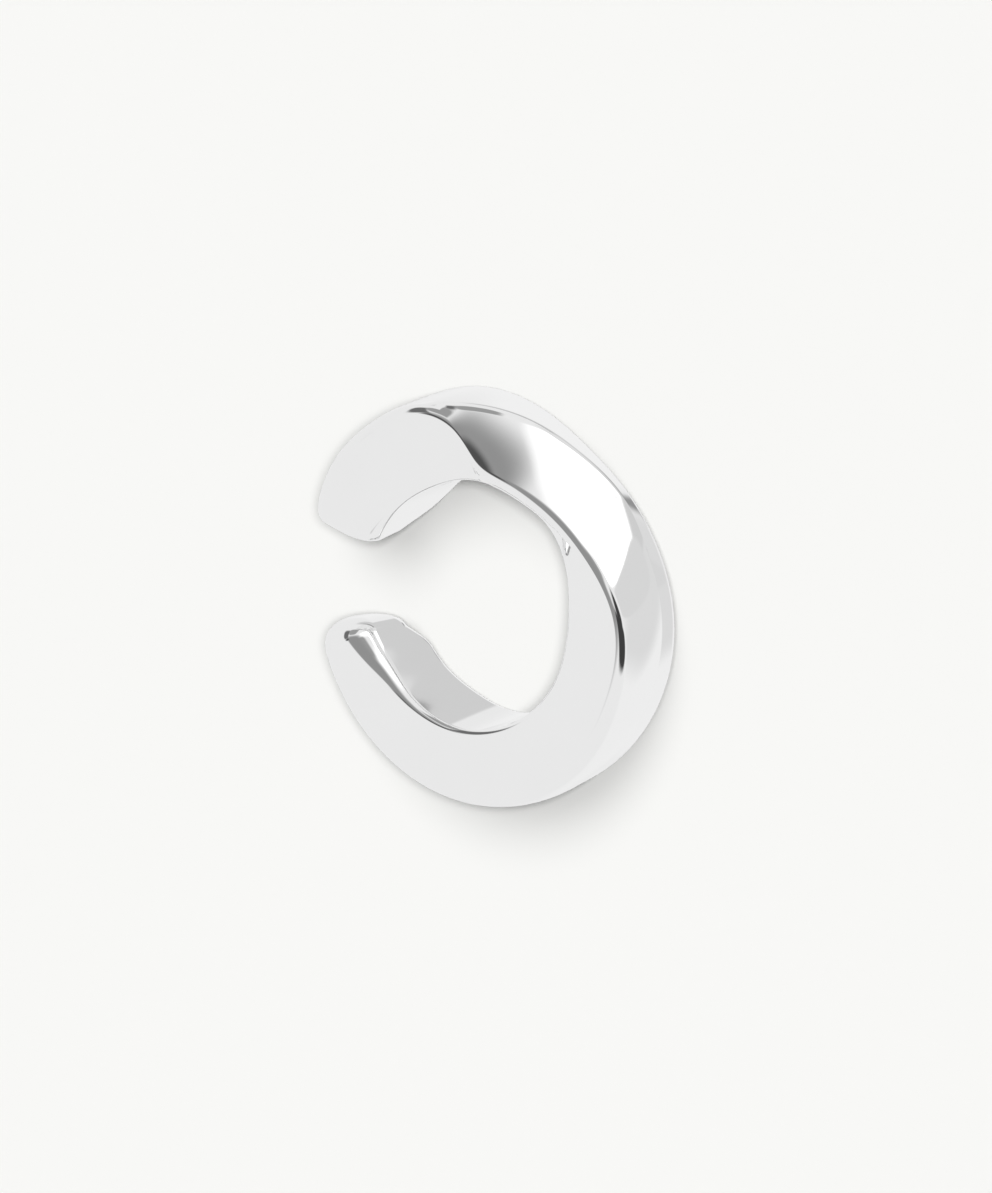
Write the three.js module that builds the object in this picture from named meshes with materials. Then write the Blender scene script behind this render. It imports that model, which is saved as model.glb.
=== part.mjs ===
// An ear cuff: one open ring of polished silver, lying on its back face.
// The ring's axis is Z, its mouth opens toward -X and its front face is up.
import * as THREE from 'three';

// Driving dimensions, in millimetres.
const holeDiameter = 7.6;    // across the hollow, from inner wall to inner wall
const bandSide = 2.5;        // side of the square section that the band is shaped from
const mouthWidth = 2.6;      // between the tips of the two ends
const domeLength = 0.85;     // how far from its tip an end begins to close

// How roundly an end closes: 2 is an ellipse, and more is fuller.
const domeShape = 2.3;

// Where the tips lie in the section, out and up, as shares of half its side.
const lowerTipPlace = { out: 0.17, up: -0.05 };
const upperTipPlace = { out: 0.68, up: 0.43 };

// How finely the surface is divided.
const stationsAlong = 104;
const stationsInDome = 7;
const cornerSteps = 4;
const crownSteps = 4;

const halfSide = bandSide / 2;
const ringRadius = holeDiameter / 2 + halfSide;
const tipAngle = Math.PI - Math.asin(mouthWidth / 2 / ringRadius);

// A section is a belt drawn round five circles, one at each corner, and a row places one of them.
// at is the place along the band, from -1 at the lower tip through 0 opposite the mouth to 1 at
// the upper tip. out and up are the circle's centre, away from the ring's axis and toward the
// front, and round is its radius, all three as shares of half the section's side.
const columns = ['at', 'out', 'up', 'round'];

// Where the back face meets the outer wall.
const outerBack = [
  [-0.95, 0.62, -0.67, 0.33],
  [-0.80, 0.78, -0.90, 0.20],
  [-0.35, 0.81, -0.90, 0.20],
  [-0.11, 1.00, -0.90, 0.20],
  [0.02, 0.94, -0.90, 0.20],
  [0.13, 0.72, -0.90, 0.20],
  [0.23, 0.52, -0.90, 0.20],
  [0.34, 0.38, -0.90, 0.20],
  [0.49, 0.59, -0.90, 0.20],
  [0.62, 0.84, -0.90, 0.20],
  [0.77, 0.92, -0.85, 0.20],
  [0.96, 0.69, -0.67, 0.33],
];

// The bend in the outer wall, which climbs into the shoulder at the upper right.
const wallBend = [
  [-0.95, 0.57, -0.25, 0.34],
  [-0.35, 0.87, -0.30, 0.22],
  [-0.11, 0.98, -0.37, 0.21],
  [0.01, 0.92, -0.44, 0.20],
  [0.13, 0.68, -0.50, 0.22],
  [0.23, 0.49, -0.55, 0.26],
  [0.34, 0.44, -0.17, 0.32],
  [0.42, 0.52, 0.16, 0.32],
  [0.50, 0.52, 0.39, 0.33],
  [0.57, 0.51, 0.52, 0.34],
  [0.65, 0.64, 0.52, 0.26],
  [0.74, 0.83, 0.20, 0.24],
  [0.96, 0.74, 0.05, 0.34],
];

// The ridge round the front face, which swings over to the inner wall and back.
const ridge = [
  [-0.95, 0.35, 0.43, 0.48],
  [-0.72, 0.54, 0.54, 0.34],
  [-0.47, 0.69, 0.55, 0.37],
  [-0.30, 0.76, 0.46, 0.44],
  [-0.11, 0.76, 0.60, 0.34],
  [0.01, 0.74, 0.75, 0.24],
  [0.13, 0.28, 0.88, 0.20],
  [0.25, -0.17, 0.98, 0.15],
  [0.34, -0.38, 1.05, 0.13],
  [0.42, -0.43, 1.05, 0.15],
  [0.50, -0.27, 0.91, 0.24],
  [0.57, 0.28, 0.74, 0.29],
  [0.65, 0.62, 0.76, 0.26],
  [0.74, 0.67, 0.69, 0.31],
  [0.85, 0.68, 0.75, 0.35],
  [0.96, 0.66, 0.60, 0.36],
];

// Where the front face meets the inner wall.
const innerFront = [
  [-0.95, -0.24, 0.44, 0.65],
  [-0.84, -0.64, 0.56, 0.40],
  [-0.72, -0.80, 0.75, 0.23],
  [-0.60, -0.80, 0.83, 0.16],
  [-0.41, -0.72, 0.87, 0.14],
  [-0.20, -0.64, 0.75, 0.14],
  [0.02, -0.65, 0.72, 0.15],
  [0.25, -0.56, 0.66, 0.15],
  [0.37, -0.72, 0.77, 0.15],
  [0.50, -0.83, 0.84, 0.13],
  [0.65, -1.03, 0.86, 0.12],
  [0.85, -1.00, 0.78, 0.14],
  [0.96, -0.80, 0.68, 0.30],
];

// Where the inner wall meets the back face.
const innerBack = [
  [-0.95, -0.66, -0.34, 0.33],
  [-0.90, -0.88, -0.66, 0.27],
  [-0.84, -0.97, -0.82, 0.22],
  [-0.66, -1.06, -0.90, 0.20],
  [-0.47, -0.86, -0.90, 0.20],
  [-0.29, -0.80, -0.90, 0.20],
  [0.62, -0.86, -0.90, 0.20],
  [0.74, -0.89, -0.85, 0.20],
  [0.85, -0.97, -0.56, 0.22],
  [0.96, -0.66, 0.02, 0.30],
];

// A natural cubic spline: a smooth curve through the values, one for each place.
function smoothCurve(places, values) {
  const last = places.length - 1;
  const widths = places.map((place, i) => place - places[i - 1]);
  const slopes = values.map((value, i) => (value - values[i - 1]) / widths[i]);
  const bends = new Array(places.length).fill(0);
  const carried = new Array(places.length).fill(0);
  for (let i = 1; i < last; i++) {
    const span = widths[i] + widths[i + 1];
    const pivot = 2 * span - widths[i] * carried[i - 1];
    carried[i] = widths[i + 1] / pivot;
    bends[i] = (6 * (slopes[i + 1] - slopes[i]) - widths[i] * bends[i - 1]) / pivot;
  }
  for (let i = last - 1; i > 0; i--) {
    bends[i] -= carried[i] * bends[i + 1];
  }
  return (place) => {
    const i = Math.max(1, places.findIndex((later) => later >= place));
    const far = (place - places[i - 1]) / widths[i];
    const near = 1 - far;
    const sag = (near ** 3 - near) * bends[i - 1] + (far ** 3 - far) * bends[i];
    return near * values[i - 1] + far * values[i] + sag * widths[i] ** 2 / 6;
  };
}

// A corner's circle at a place along the band, from the smooth curves through its table.
// The back is ground flat: no circle reaches below it.
function cornerCircle(rows) {
  const column = (name) => rows.map((row) => row[columns.indexOf(name)]);
  const places = column('at');
  const [outAt, upAt, roundAt] = ['out', 'up', 'round'].map((name) => smoothCurve(places, column(name)));
  return (place) => {
    const at = Math.min(Math.max(place, places[0]), places.at(-1));
    const round = roundAt(at);
    const up = Math.max(upAt(at), round - 1);
    return { centre: new THREE.Vector2(outAt(at), up).multiplyScalar(halfSide), round: round * halfSide };
  };
}

// The corners in the order in which the belt meets them, anticlockwise where out points right.
const corners = [outerBack, wallBend, ridge, innerFront, innerBack].map(cornerCircle);

// Each face swells a little: it's part of a large circle that touches the corner before it and the
// one after it. These are the large circles' radii, as shares of half the section's side.
const crowns = [12, 6, 12, 40];

// The back face, after the last corner, has a circle so large that it's flat.
const flat = 10000;

// The large circle's arc from one corner's circle to the next one's.
function faceArc(from, to, radius) {
  const way = to.centre.clone().sub(from.centre);
  const [reach, reachNext] = [radius - from.round, radius - to.round];
  const lean = Math.acos((way.lengthSq() + reach ** 2 - reachNext ** 2) / (2 * way.length() * reach));
  const inward = way.angle() + lean;
  const centre = new THREE.Vector2(reach, 0).rotateAround(new THREE.Vector2(), inward).add(from.centre);
  return { centre, round: radius, start: inward - Math.PI, end: to.centre.clone().sub(centre).angle() };
}

// The points of an arc, without the last one, where the next arc starts.
function arcPoints({ centre, round }, start, end, steps) {
  const arc = new THREE.ArcCurve(centre.x, centre.y, round, start, end, false);
  return arc.getPoints(steps).slice(0, -1);
}

// The section at a place along the band: the points of its corners and its faces.
function section(at) {
  const circles = corners.map((corner) => corner(at));
  const faceArcs = circles.map((circle, i) => {
    const next = circles[(i + 1) % circles.length];
    return faceArc(circle, next, (crowns[i] ?? flat) * halfSide);
  });
  return circles.flatMap((circle, i) => {
    const face = faceArcs[i];
    return [
      ...arcPoints(circle, faceArcs.at(i - 1).end, face.start, cornerSteps),
      ...arcPoints(face, face.start, face.end, i in crowns ? crownSteps : 1),
    ];
  });
}

// The places of the sections: evenly along the band, and closer together in the two domes.
const domeShare = domeLength / ringRadius / tipAngle;
const places = [];
for (let i = 1; i <= stationsInDome; i++) {
  places.push(-1 + domeShare * (1 - Math.cos((Math.PI / 2) * i / stationsInDome)));
}
for (let i = 1; i < stationsAlong; i++) {
  places.push(-1 + domeShare + 2 * (1 - domeShare) * i / stationsAlong);
}
for (let i = stationsInDome; i > 0; i--) {
  places.push(1 - domeShare * (1 - Math.cos((Math.PI / 2) * i / stationsInDome)));
}

// How much of its full size the section keeps at a place: all of it until the dome begins.
function fullness(at) {
  const intoDome = Math.max(0, 1 - (1 - Math.abs(at)) / domeShare);
  return (1 - intoDome ** domeShape) ** (1 / domeShape);
}

const [lowerTip, upperTip] = [lowerTipPlace, upperTipPlace].map(
  ({ out, up }) => new THREE.Vector2(out, up).multiplyScalar(halfSide),
);

// A point of the band: out and up in the section at a place along it.
function bandPoint(at, { x, y }) {
  const turn = at * tipAngle;
  const radius = ringRadius + x;
  return [radius * Math.cos(turn), radius * Math.sin(turn), halfSide + y];
}

// The band's surface: rings of points, one for each place, and a point at each tip.
const rings = places.map((at) => {
  const tip = at < 0 ? lowerTip : upperTip;
  return section(at).map((point) => bandPoint(at, tip.clone().lerp(point, fullness(at))));
});
const tipPoints = [bandPoint(-1, lowerTip), bandPoint(1, upperTip)];

const perRing = rings[0].length;
const lastRing = (rings.length - 1) * perRing;
const lowerPoint = rings.length * perRing;
const upperPoint = lowerPoint + 1;
const faces = [];
for (let j = 0; j < perRing; j++) {
  const k = (j + 1) % perRing;
  faces.push(lowerPoint, j, k);
  faces.push(upperPoint, lastRing + k, lastRing + j);
  for (let ring = 0; ring < lastRing; ring += perRing) {
    faces.push(ring + j, ring + perRing + j, ring + k);
    faces.push(ring + k, ring + perRing + j, ring + perRing + k);
  }
}

const bandGeometry = new THREE.BufferGeometry();
bandGeometry.setAttribute('position', new THREE.Float32BufferAttribute([...rings, tipPoints].flat(2), 3));
bandGeometry.setIndex(faces);
bandGeometry.computeVertexNormals();

const silver = new THREE.MeshStandardMaterial({ color: 0xe6e6e3, roughness: 0.12, metalness: 1 });
const cuffBand = new THREE.Mesh(bandGeometry, silver);
cuffBand.name = 'cuff_band';

// The origin is under the middle of the cuff, on the surface that it lies on.
bandGeometry.computeBoundingBox();
const middle = bandGeometry.boundingBox.getCenter(new THREE.Vector3());
bandGeometry.translate(-middle.x, -middle.y, -bandGeometry.boundingBox.min.z);

const earCuff = new THREE.Group();
earCuff.add(cuffBand);

export default earCuff;
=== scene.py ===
import math

import bpy
import numpy as np
from mathutils import Matrix, Vector


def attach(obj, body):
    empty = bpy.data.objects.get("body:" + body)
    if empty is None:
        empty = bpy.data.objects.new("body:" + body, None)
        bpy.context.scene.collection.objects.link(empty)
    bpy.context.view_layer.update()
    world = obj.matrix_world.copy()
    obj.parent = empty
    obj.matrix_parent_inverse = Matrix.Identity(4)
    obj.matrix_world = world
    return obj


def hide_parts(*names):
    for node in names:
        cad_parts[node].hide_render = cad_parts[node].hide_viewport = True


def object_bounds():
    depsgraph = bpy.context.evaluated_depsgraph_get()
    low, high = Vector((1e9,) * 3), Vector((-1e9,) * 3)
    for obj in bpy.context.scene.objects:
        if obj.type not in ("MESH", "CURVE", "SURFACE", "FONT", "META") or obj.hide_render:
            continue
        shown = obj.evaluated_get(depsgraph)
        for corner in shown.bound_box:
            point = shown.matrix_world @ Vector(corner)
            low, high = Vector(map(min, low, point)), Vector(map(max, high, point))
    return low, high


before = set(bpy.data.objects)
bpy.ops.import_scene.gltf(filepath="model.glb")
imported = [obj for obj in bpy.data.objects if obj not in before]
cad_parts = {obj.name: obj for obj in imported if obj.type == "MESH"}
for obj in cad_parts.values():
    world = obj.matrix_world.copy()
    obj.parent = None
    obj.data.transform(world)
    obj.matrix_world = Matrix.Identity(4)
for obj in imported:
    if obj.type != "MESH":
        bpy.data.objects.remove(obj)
cad_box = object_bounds()

# Sizes, in metres.
MM = 0.001
HOLE_DIAMETER = 7.6 * MM
BAND_SIDE = 2.5 * MM
MOUTH_WIDTH = 2.6 * MM
DOME_LENGTH = 0.85 * MM
DOME_SHAPE = 2.3

HALF_SIDE = BAND_SIDE / 2
RING_RADIUS = HOLE_DIAMETER / 2 + HALF_SIDE
TIP_ANGLE = math.pi - math.asin(MOUTH_WIDTH / 2 / RING_RADIUS)

# Where the tips lie in the section, out and up, as shares of half its side.
LOWER_TIP = (0.17, -0.05)
UPPER_TIP = (0.68, 0.43)

# A section is a belt drawn round five circles. A row places one of them:
# at (-1 lower tip, 0 opposite the mouth, 1 upper tip), out, up, round.
# The last three are shares of half the section's side.
OUTER_BACK = (
    (-0.95, 0.62, -0.67, 0.33),
    (-0.80, 0.78, -0.90, 0.20),
    (-0.35, 0.81, -0.90, 0.20),
    (-0.11, 1.00, -0.90, 0.20),
    (0.02, 0.94, -0.90, 0.20),
    (0.13, 0.72, -0.90, 0.20),
    (0.23, 0.52, -0.90, 0.20),
    (0.34, 0.38, -0.90, 0.20),
    (0.49, 0.59, -0.90, 0.20),
    (0.62, 0.84, -0.90, 0.20),
    (0.77, 0.92, -0.85, 0.20),
    (0.96, 0.69, -0.67, 0.33),
)
WALL_BEND = (
    (-0.95, 0.57, -0.25, 0.34),
    (-0.35, 0.87, -0.30, 0.22),
    (-0.11, 0.98, -0.37, 0.21),
    (0.01, 0.92, -0.44, 0.20),
    (0.13, 0.68, -0.50, 0.22),
    (0.23, 0.49, -0.55, 0.26),
    (0.34, 0.44, -0.17, 0.32),
    (0.42, 0.52, 0.16, 0.32),
    (0.50, 0.52, 0.39, 0.33),
    (0.57, 0.51, 0.52, 0.34),
    (0.65, 0.64, 0.52, 0.26),
    (0.74, 0.83, 0.20, 0.24),
    (0.96, 0.74, 0.05, 0.34),
)
RIDGE = (
    (-0.95, 0.35, 0.43, 0.48),
    (-0.72, 0.54, 0.54, 0.34),
    (-0.47, 0.69, 0.55, 0.37),
    (-0.30, 0.76, 0.46, 0.44),
    (-0.11, 0.76, 0.60, 0.34),
    (0.01, 0.74, 0.75, 0.24),
    (0.13, 0.25, 0.81, 0.27),
    (0.25, -0.22, 0.84, 0.29),
    (0.34, -0.45, 0.89, 0.29),
    (0.42, -0.56, 0.90, 0.30),
    (0.50, -0.43, 0.79, 0.36),
    (0.57, 0.18, 0.68, 0.35),
    (0.65, 0.62, 0.76, 0.26),
    (0.74, 0.67, 0.69, 0.31),
    (0.85, 0.68, 0.75, 0.35),
    (0.96, 0.66, 0.60, 0.36),
)
INNER_FRONT = (
    (-0.95, -0.24, 0.44, 0.65),
    (-0.84, -0.64, 0.56, 0.40),
    (-0.72, -0.80, 0.75, 0.23),
    (-0.60, -0.80, 0.83, 0.16),
    (-0.41, -0.72, 0.87, 0.14),
    (-0.20, -0.64, 0.75, 0.14),
    (0.02, -0.65, 0.72, 0.15),
    (0.25, -0.56, 0.66, 0.15),
    (0.37, -0.72, 0.77, 0.15),
    (0.50, -0.83, 0.84, 0.13),
    (0.65, -1.03, 0.86, 0.12),
    (0.85, -1.00, 0.78, 0.14),
    (0.96, -0.80, 0.68, 0.30),
)
INNER_BACK = (
    (-0.95, -0.66, -0.34, 0.33),
    (-0.90, -0.88, -0.66, 0.27),
    (-0.84, -0.97, -0.82, 0.22),
    (-0.66, -1.06, -0.90, 0.20),
    (-0.47, -0.86, -0.90, 0.20),
    (-0.29, -0.80, -0.90, 0.20),
    (0.62, -0.86, -0.90, 0.20),
    (0.74, -0.89, -0.85, 0.20),
    (0.85, -0.97, -0.56, 0.22),
    (0.96, -0.66, 0.02, 0.30),
)
CORNERS = (OUTER_BACK, WALL_BEND, RIDGE, INNER_FRONT, INNER_BACK)

# How gently each face swells, from a corner to the next one: a radius for each face, as a share of half
# the section's side. The last face is the back, which is flat.
CROWNS = np.array([12.0, 3.5, 12.0, 40.0, 10000.0])

# How finely the surface is divided.
STATIONS_ALONG = 400
STATIONS_IN_DOME = 26
ARC_STEPS = 10
FLAT_STEPS = 8


def smooth_columns(rows, places):
    """The columns of a table at each place, by a natural cubic spline through its rows."""
    rows = np.array(rows)
    knots, values = rows[:, 0], rows[:, 1:]
    count = len(knots)
    widths = np.diff(knots)
    slopes = np.diff(values, axis=0) / widths[:, None]
    matrix = np.eye(count)
    sides = np.zeros_like(values)
    for i in range(1, count - 1):
        matrix[i, i - 1:i + 2] = widths[i - 1], 2 * (widths[i - 1] + widths[i]), widths[i]
        sides[i] = 6 * (slopes[i] - slopes[i - 1])
    bends = np.linalg.solve(matrix, sides)
    at = np.clip(places, knots[0], knots[-1])
    i = np.clip(np.searchsorted(knots, at), 1, count - 1)
    width = widths[i - 1][:, None]
    far = (at - knots[i - 1])[:, None] / width
    near = 1 - far
    sag = (near**3 - near) * bends[i - 1] + (far**3 - far) * bends[i]
    return near * values[i - 1] + far * values[i] + sag * width**2 / 6


def band_places():
    """Places of the sections: even along the band, and closer together in the domes."""
    dome = DOME_LENGTH / RING_RADIUS / TIP_ANGLE
    into_dome = dome * (1 - np.cos(np.pi / 2 * np.arange(1, STATIONS_IN_DOME + 1) / STATIONS_IN_DOME))
    straight = np.linspace(-1 + dome, 1 - dome, STATIONS_ALONG + 1)[1:-1]
    places = np.concatenate([-1 + into_dome, straight, (1 - into_dome)[::-1]])
    depth = np.maximum(0, 1 - (1 - np.abs(places)) / dome)
    return places, (1 - depth**DOME_SHAPE) ** (1 / DOME_SHAPE)


def band_surface():
    """Points of the band's surface and the direction in which each one's section faces."""
    places, fullness = band_places()
    circles = np.array([smooth_columns(rows, places) for rows in CORNERS]).transpose(1, 0, 2)
    # The back is ground flat: no circle reaches below it.
    circles[:, :, 1] = np.maximum(circles[:, :, 1], circles[:, :, 2] - 1)
    after = np.roll(circles, -1, axis=1)
    way = after[..., :2] - circles[..., :2]
    length = np.hypot(way[..., 0], way[..., 1])
    # Each face between two corners is part of a large circle, tangent to both.
    reach, reach_after = CROWNS - circles[..., 2], CROWNS - after[..., 2]
    lean = np.arccos((length**2 + reach**2 - reach_after**2) / (2 * length * reach))
    leaving = np.arctan2(way[..., 1], way[..., 0]) + lean
    middles = circles[..., :2] + reach[..., None] * np.stack([np.cos(leaving), np.sin(leaving)], axis=-1)
    leaving = leaving - np.pi
    arriving = np.arctan2(after[..., 1] - middles[..., 1], after[..., 0] - middles[..., 0])
    # One turn, corner by corner: arriving at each corner and leaving it.
    angles = np.stack([np.roll(arriving, 1, axis=1), leaving], axis=-1).reshape(len(places), -1)
    angles = np.unwrap(angles, axis=1)
    outline, outward = [], []

    def arc(middle, radius, start, end, shares):
        for share in shares:
            angle = (1 - share) * start + share * end
            normal = np.stack([np.cos(angle), np.sin(angle)], axis=-1)
            outline.append(middle + radius * normal)
            outward.append(normal)

    for corner in range(len(CORNERS)):
        start, end = angles[:, 2 * corner], angles[:, 2 * corner + 1]
        arc(circles[:, corner, :2], circles[:, corner, 2:], start, end, np.linspace(0, 1, ARC_STEPS + 1))
        start = end
        end = angles[:, 2 * corner + 2] if corner + 1 < len(CORNERS) else angles[:, 0] + 2 * np.pi
        shares = (1 - np.cos(np.pi * np.arange(1, FLAT_STEPS) / FLAT_STEPS)) / 2
        arc(middles[:, corner], CROWNS[corner], start, end, shares)
    outline = np.array(outline).transpose(1, 0, 2)
    outward = np.array(outward).transpose(1, 0, 2)
    tips = np.where(places[:, None, None] < 0, LOWER_TIP, UPPER_TIP)
    outline = tips + (outline - tips) * fullness[:, None, None]
    return places, outline, outward


def in_space(places, outline):
    """Points of the band: out and up in the section at a place along it."""
    turn = np.asarray(places)[:, None] * TIP_ANGLE
    radius = RING_RADIUS + outline[..., 0] * HALF_SIDE
    height = HALF_SIDE + outline[..., 1] * HALF_SIDE
    return np.stack([radius * np.cos(turn), radius * np.sin(turn), height], axis=-1)


def make_band():
    """The whole cuff as one smooth mesh. Also gives the middle of the ring."""
    places, outline, outward = band_surface()
    rings = in_space(places, outline)
    tips = in_space([-1, 1], np.array([[LOWER_TIP], [UPPER_TIP]]))[:, 0]
    low, high = rings.min((0, 1)), rings.max((0, 1))
    cad_middle = (cad_box[0] + cad_box[1]) / 2
    shift = np.array([cad_middle.x, cad_middle.y, cad_box[0].z]) - np.array([*(low + high)[:2] / 2, low[2]])

    count, per_ring = rings.shape[:2]
    turn = (places * TIP_ANGLE)[:, None]
    across = np.stack([-outward[..., 1] * np.cos(turn), -outward[..., 1] * np.sin(turn), outward[..., 0]], -1)
    along = np.gradient(rings, axis=0)
    normals = np.cross(along, across)
    normals /= np.linalg.norm(normals, axis=-1, keepdims=True)
    tip_normals = np.array([[-math.sin(side * TIP_ANGLE) * side, math.cos(side * TIP_ANGLE) * side, 0]
                            for side in (-1, 1)])

    points = np.concatenate([rings.reshape(-1, 3), tips]) + shift
    normals = np.concatenate([normals.reshape(-1, 3), tip_normals])
    faces = []
    for ring in range(count - 1):
        base = ring * per_ring
        for j in range(per_ring):
            k = (j + 1) % per_ring
            faces.append((base + j, base + per_ring + j, base + per_ring + k, base + k))
    last = (count - 1) * per_ring
    for j in range(per_ring):
        k = (j + 1) % per_ring
        faces.append((count * per_ring, j, k))
        faces.append((count * per_ring + 1, last + k, last + j))

    mesh = bpy.data.meshes.new("silver_band")
    mesh.from_pydata(points.tolist(), [], faces)
    mesh.polygons.foreach_set("use_smooth", [True] * len(faces))
    mesh.normals_split_custom_set_from_vertices(normals.tolist())
    band = bpy.data.objects.new("silver_band", mesh)
    # The silver casts its shadow on the floor, but no light.
    band.visible_diffuse = False
    bpy.context.scene.collection.objects.link(band)
    return band, Vector(shift) + Vector((0, 0, HALF_SIDE))


def node_maker(tree):
    """A function that adds a node with its settings, and links or sets its inputs."""
    def add(kind, inputs=None, **settings):
        node = tree.nodes.new(kind)
        for name, value in settings.items():
            setattr(node, name, value)
        for name, value in (inputs or {}).items():
            if isinstance(value, bpy.types.NodeSocket):
                tree.links.new(value, node.inputs[name])
            else:
                node.inputs[name].default_value = value
        return node
    return add


# Polished silver: its two tones, its roughness where it is clearest and haziest, how fine its haze and
# its swirls are, and how strong and deep the swirls are.
SILVER_TONES = ((0.94, 0.94, 0.94, 1.0), (0.96, 0.96, 0.96, 1.0))
SILVER_ROUGHNESS = (0.035, 0.07)
HAZE_SCALE = 420.0
SWIRL_SCALE = 5200.0
SWIRL_STRENGTH = 0.012
SWIRL_DEPTH = 0.02 * MM

# The paper on the floor: its two tones, how large its mottles are, and how matte it is.
PAPER_TONES = ((0.905, 0.905, 0.888, 1.0), (0.912, 0.912, 0.895, 1.0))
MOTTLE_SCALE = 30.0
PAPER_ROUGHNESS = 0.9
PAPER_SPECULAR = 0.1


def silver_material():
    """Polished silver: a mirror with the faint swirls that a polishing wheel leaves."""
    material = bpy.data.materials.new("polished_silver")
    material.use_nodes = True
    tree = material.node_tree
    tree.nodes.clear()
    add = node_maker(tree)
    place = add("ShaderNodeTexCoord").outputs["Object"]
    haze = add("ShaderNodeTexNoise", {
        "Vector": place, "Scale": HAZE_SCALE, "Detail": 3.0, "Roughness": 0.55})
    fine = add("ShaderNodeTexNoise", {
        "Vector": place, "Scale": SWIRL_SCALE, "Detail": 2.0, "Roughness": 0.6})
    roughness = add("ShaderNodeMapRange", {
        "Value": haze.outputs["Fac"], "From Min": 0.3, "From Max": 0.7,
        "To Min": SILVER_ROUGHNESS[0], "To Max": SILVER_ROUGHNESS[1]})
    tone = add("ShaderNodeMix", {
        0: haze.outputs["Fac"], 6: SILVER_TONES[0], 7: SILVER_TONES[1]}, data_type="RGBA")
    bump = add("ShaderNodeBump", {
        "Height": fine.outputs["Fac"], "Strength": SWIRL_STRENGTH, "Distance": SWIRL_DEPTH})
    shader = add("ShaderNodeBsdfPrincipled", {
        "Base Color": tone.outputs[2], "Metallic": 1.0, "Roughness": roughness.outputs["Result"],
        "Normal": bump.outputs["Normal"]})
    add("ShaderNodeOutputMaterial", {"Surface": shader.outputs["BSDF"]})
    return material


def floor_material():
    """Matte off-white paper with a barely uneven tone."""
    material = bpy.data.materials.new("pale_floor")
    material.use_nodes = True
    tree = material.node_tree
    tree.nodes.clear()
    add = node_maker(tree)
    place = add("ShaderNodeTexCoord").outputs["Object"]
    mottle = add("ShaderNodeTexNoise", {"Vector": place, "Scale": MOTTLE_SCALE, "Detail": 2.0})
    tone = add("ShaderNodeMix", {
        0: mottle.outputs["Fac"], 6: PAPER_TONES[0], 7: PAPER_TONES[1]}, data_type="RGBA")
    shader = add("ShaderNodeBsdfPrincipled", {
        "Base Color": tone.outputs[2], "Roughness": PAPER_ROUGHNESS, "Specular IOR Level": PAPER_SPECULAR})
    add("ShaderNodeOutputMaterial", {"Surface": shader.outputs["BSDF"]})
    return material


def direction(azimuth, elevation):
    """The direction at an azimuth from +X toward +Y and an elevation, in degrees."""
    a, e = math.radians(azimuth), math.radians(elevation)
    return Vector((math.cos(e) * math.cos(a), math.cos(e) * math.sin(a), math.sin(e)))


# The studio round the cuff: soft-edged panels on an even pale surround, each painted over the ones
# before. A row is azimuth and elevation of the middle, roll, half width and half height in degrees,
# softness of the edge, and brightness.
SURROUND = 0.85
PANELS = (
    # Light from the floor.
    (-50, -45, 0, 50, 33, 0.4, 0.89),
    (143, -60, 0, 22, 14, 0.3, 0.91),
    # Grey patch beside the dark side.
    (54, 50, 0, 8, 16, 0.4, 0.33),
    # Grey ceiling.
    (108, 76, 0, 30, 31, 0.40, 0.29),
    # Pale end of the ceiling.
    (-158, 50, 0, 19, 19, 0.25, 0.85),
    # Dark curtain.
    (144, 27, -24, 10, 23, 0.25, 0.15),
    # Dark corner at its top.
    (159, 55, 0, 8, 6, 0.5, 0.08),
    # Grey stand.
    (117, 20, 0, 13, 17, 0.2, 0.33),
    # Grey wall, right and below.
    (22, -37, 0, 44, 20, 0.35, 0.73),
    # Grey floor under the top.
    (85, -39, 0, 42, 10, 0.15, 0.64),
    # Dark line.
    (84, -31.5, -6, 34, 1.8, 0.4, 0.22),
    # Softbox, upper part.
    (67, 11, -15, 12, 25, 0.5, 1.25),
    # Softbox, lower part.
    (51, -8, 0, 15, 22, 0.10, 1.4),
    # Its lower left cut.
    (28, -25, 24, 14, 16, 0.06, 0.70),
    # Its lower right cut.
    (74, -20, -19, 13, 16, 0.08, 0.77),
    # Wedge.
    (74, -57, 0, 7, 6, 0.6, 0.30),
    # Dark side.
    (-14, 34, 0, 18, 33, 0.2, 0.05),
    (12, 28, 35, 17, 17, 0.25, 0.05),
)

# A panel is a rounded rectangle: this power of its two shares adds up to 1 at its edge.
PANEL_SQUARENESS = 4.0


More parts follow.
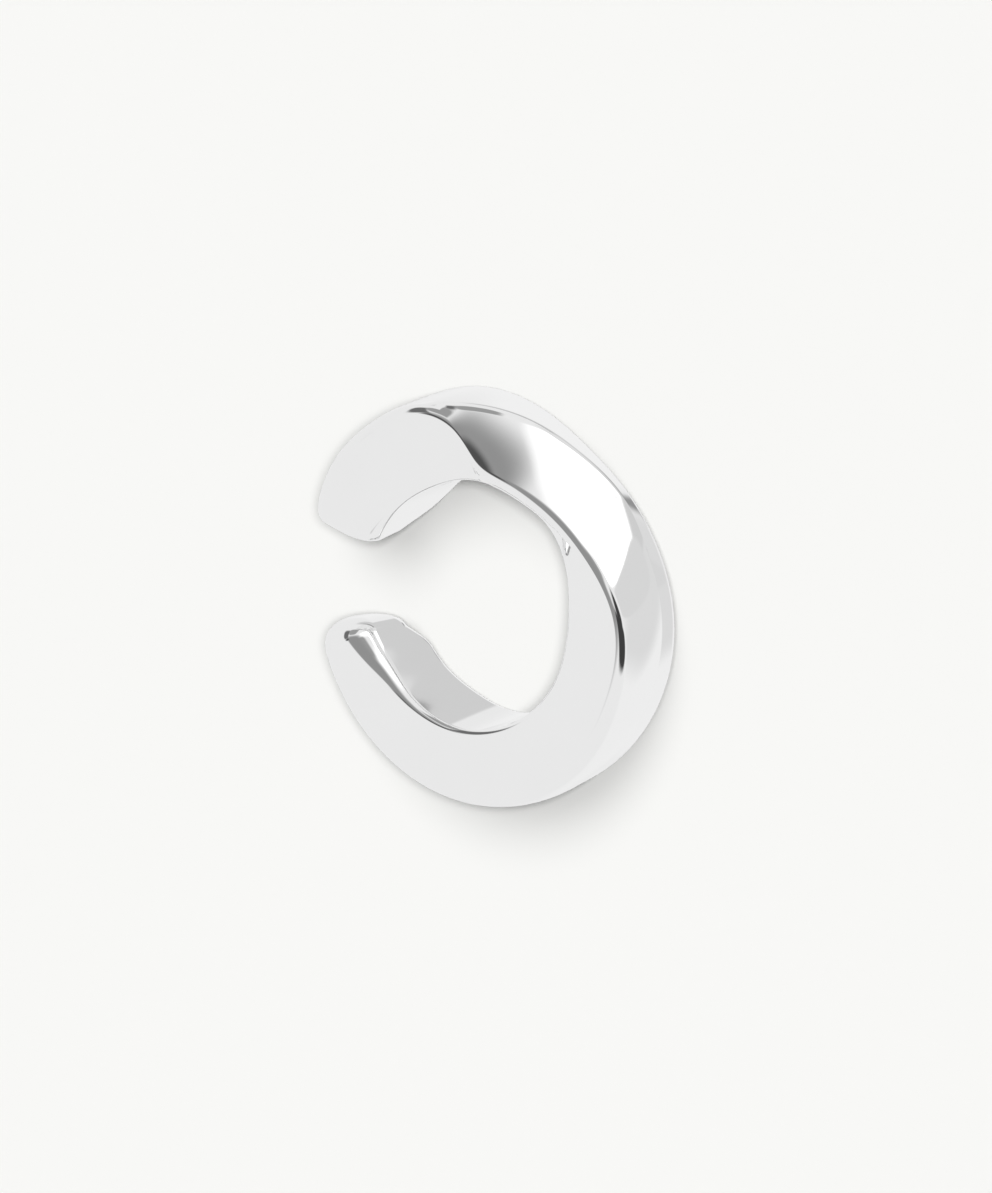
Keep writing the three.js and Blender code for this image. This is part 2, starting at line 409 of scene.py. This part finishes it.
def make_studio():
    """The surround as a world that is brighter and darker by direction. Only the silver sees it."""
    world = bpy.data.worlds.new("studio")
    bpy.context.scene.world = world
    world.cycles_visibility.diffuse = False
    world.use_nodes = True
    tree = world.node_tree
    tree.nodes.clear()
    add = node_maker(tree)
    way = add("ShaderNodeTexCoord").outputs["Generated"]

    def along(axis):
        return add("ShaderNodeVectorMath", {0: way, 1: axis}, operation="DOT_PRODUCT").outputs["Value"]

    def math_node(operation, first, second=0.0):
        return add("ShaderNodeMath", {0: first, 1: second}, operation=operation).outputs["Value"]

    light = SURROUND
    for azimuth, elevation, roll, half_width, half_height, softness, brightness in PANELS:
        ahead = direction(azimuth, elevation)
        side = Vector((0, 0, 1)).cross(ahead).normalized()
        side.rotate(Matrix.Rotation(math.radians(roll), 3, ahead))
        up = ahead.cross(side)
        depth = math_node("MAXIMUM", along(ahead), 0.001)
        powers = 0.0
        for axis, half_angle in ((side, half_width), (up, half_height)):
            share = math_node("DIVIDE", along(axis / math.tan(math.radians(half_angle))), depth)
            power = math_node("POWER", math_node("ABSOLUTE", share), PANEL_SQUARENESS)
            powers = math_node("ADD", power, powers)
        mask = add("ShaderNodeMapRange", {
            "Value": math_node("POWER", powers, 1 / PANEL_SQUARENESS),
            "From Min": 1 - softness, "From Max": 1 + softness, "To Min": 1.0, "To Max": 0.0},
            interpolation_type="SMOOTHSTEP").outputs["Result"]
        light = add("ShaderNodeMix", {0: mask, 2: light, 3: brightness}, data_type="FLOAT").outputs[0]
    background = add("ShaderNodeBackground", {"Color": (1.0, 1.0, 1.0, 1.0), "Strength": light})
    add("ShaderNodeOutputWorld", {"Surface": background.outputs["Background"]})


# The photograph's frame and where the ring's middle lies in it, in pixels.
PHOTO_WIDTH, PHOTO_HEIGHT = 992, 1193
MIDDLE_RIGHT, MIDDLE_DOWN = 484.9, 596.8
PIXELS_PER_MM = 32.85
# The camera's turn and rise from straight above the ring, and the ring's own turn, in degrees.
CAMERA_TURN, CAMERA_RISE, RING_TURN = 39.02, 10.76, 1.75
# The lens and the sensor, in millimetres, and how much nearer and farther than the cuff the camera sees.
LENS = 500.0
SENSOR = 36.0
CLIP_REACH = 100


def make_camera(middle):
    """A long lens at the photograph's angle to the ring."""
    turn, rise = math.radians(CAMERA_TURN), math.radians(CAMERA_RISE)
    level = Matrix.Rotation(math.radians(RING_TURN), 3, "Z")
    right = level @ Vector((math.cos(turn), 0, -math.sin(turn)))
    toward = level @ Vector((
        math.sin(turn) * math.cos(rise), math.sin(rise), math.cos(turn) * math.cos(rise)))
    up = toward.cross(right)
    pixel = MM / PIXELS_PER_MM
    aim = middle + right * (PHOTO_WIDTH / 2 - MIDDLE_RIGHT) * pixel
    aim += up * (MIDDLE_DOWN - PHOTO_HEIGHT / 2) * pixel
    data = bpy.data.cameras.new("camera")
    data.lens, data.sensor_width = LENS, SENSOR
    distance = LENS / SENSOR * PHOTO_HEIGHT * pixel
    data.clip_start, data.clip_end = distance / CLIP_REACH, distance * CLIP_REACH
    camera = bpy.data.objects.new("camera", data)
    bpy.context.scene.collection.objects.link(camera)
    place = Matrix((right, up, toward)).transposed().to_4x4()
    place.translation = aim + toward * distance
    camera.matrix_world = place
    bpy.context.scene.camera = camera
    return right, up, toward


# Half the floor's side, in metres.
FLOOR_HALF = 2.5


def make_floor():
    """A wide sheet of pale paper under the cuff. The silver doesn't mirror it."""
    mesh = bpy.data.meshes.new("floor")
    corners = [(x * FLOOR_HALF, y * FLOOR_HALF, 0) for x, y in ((-1, -1), (1, -1), (1, 1), (-1, 1))]
    mesh.from_pydata(corners, [], [(0, 1, 2, 3)])
    mesh.materials.append(floor_material())
    floor = bpy.data.objects.new("floor", mesh)
    floor.visible_glossy = False
    bpy.context.scene.collection.objects.link(floor)


# The lamps that light the floor. Each has a strength, a spread in degrees, and how far it stands
# to the left of the camera and above it.
LAMPS = {
    "fill": (2.55, 12.0, 0.0, 0.0),
    "key": (1.48, 45.0, 0.6, 0.4),
}


def make_lamp(name, right, up, toward):
    """A soft lamp near the camera. The silver doesn't mirror it."""
    strength, spread, leftward, upward = LAMPS[name]
    data = bpy.data.lights.new(name, "SUN")
    data.energy = strength
    data.angle = math.radians(spread)
    lamp = bpy.data.objects.new(name, data)
    lamp.visible_glossy = False
    source = toward - right * leftward + up * upward
    lamp.rotation_mode = "QUATERNION"
    lamp.rotation_quaternion = source.to_track_quat("Z", "Y")
    bpy.context.scene.collection.objects.link(lamp)


band, ring_middle = make_band()
band.data.materials.append(silver_material())
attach(band, "root")
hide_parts("cuff_band")

make_floor()
make_studio()
right, up, toward = make_camera(ring_middle)
for lamp_name in LAMPS:
    make_lamp(lamp_name, right, up, toward)
bpy.context.scene.view_settings.view_transform = "Standard"
